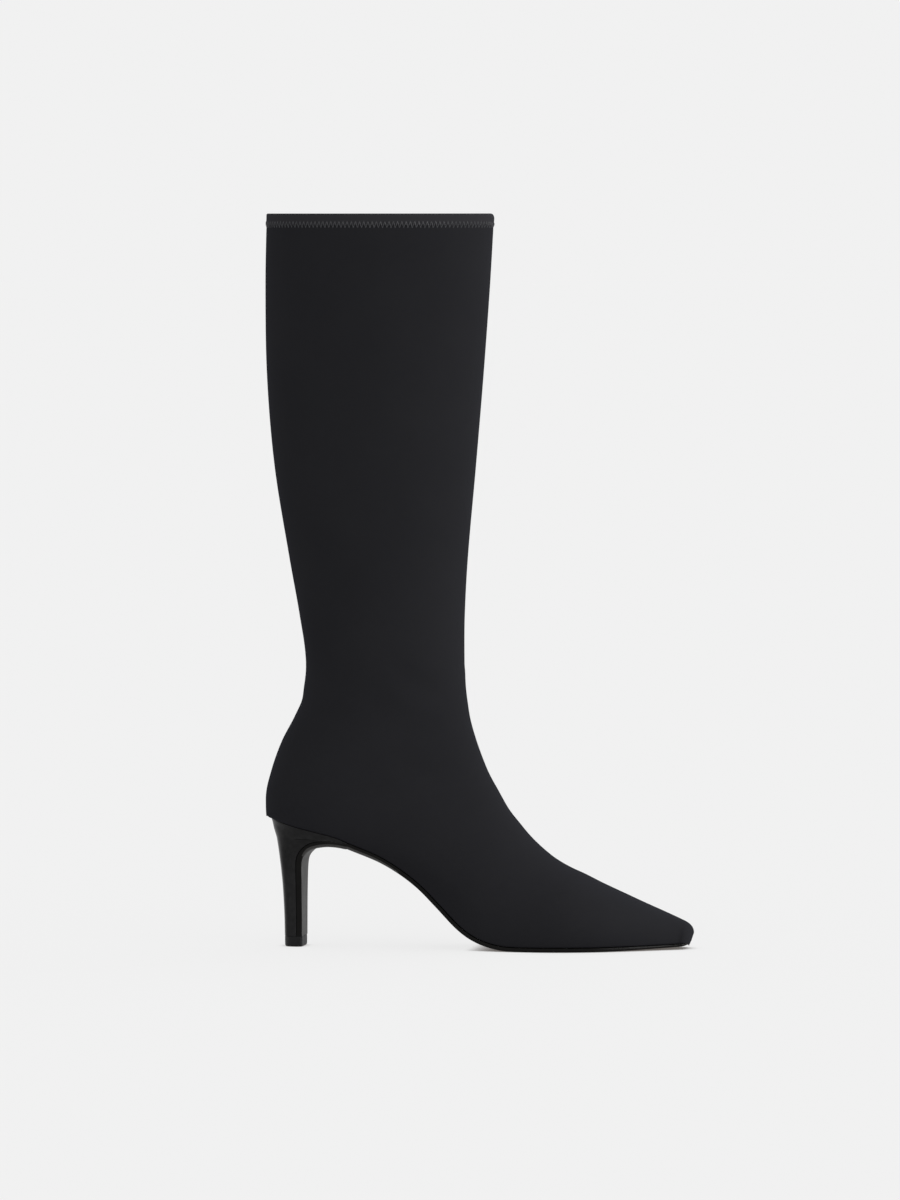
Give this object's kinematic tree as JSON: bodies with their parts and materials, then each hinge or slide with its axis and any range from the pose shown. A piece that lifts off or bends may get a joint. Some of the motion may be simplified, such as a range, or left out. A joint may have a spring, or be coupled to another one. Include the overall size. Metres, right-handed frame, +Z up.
{
  "type": "sock boot",
  "caption": "Knee-high pull-on sock boot in black stretch fabric, with a pointed toe, a slim glossy heel and a thin sole.",
  "frame": {"origin": "On the floor, under the middle of the boot's bounding box", "axes": "+X towards the toe, +Y to the medial side, +Z up"},
  "size_m": [0.2556, 0.0842, 0.436],
  "materials": {
    "upper_fabric": "satin stretch knit",
    "insole_board": "matte fabric cover",
    "sole": "satin",
    "heel_gloss": "polished lacquer",
    "top_piece": "matte"
  },
  "bodies": {
    "root": {"upper": "upper_fabric", "insole": "insole_board", "outsole": "sole", "heel": "heel_gloss", "heel_tip": "top_piece"}
  },
  "joints": []
}
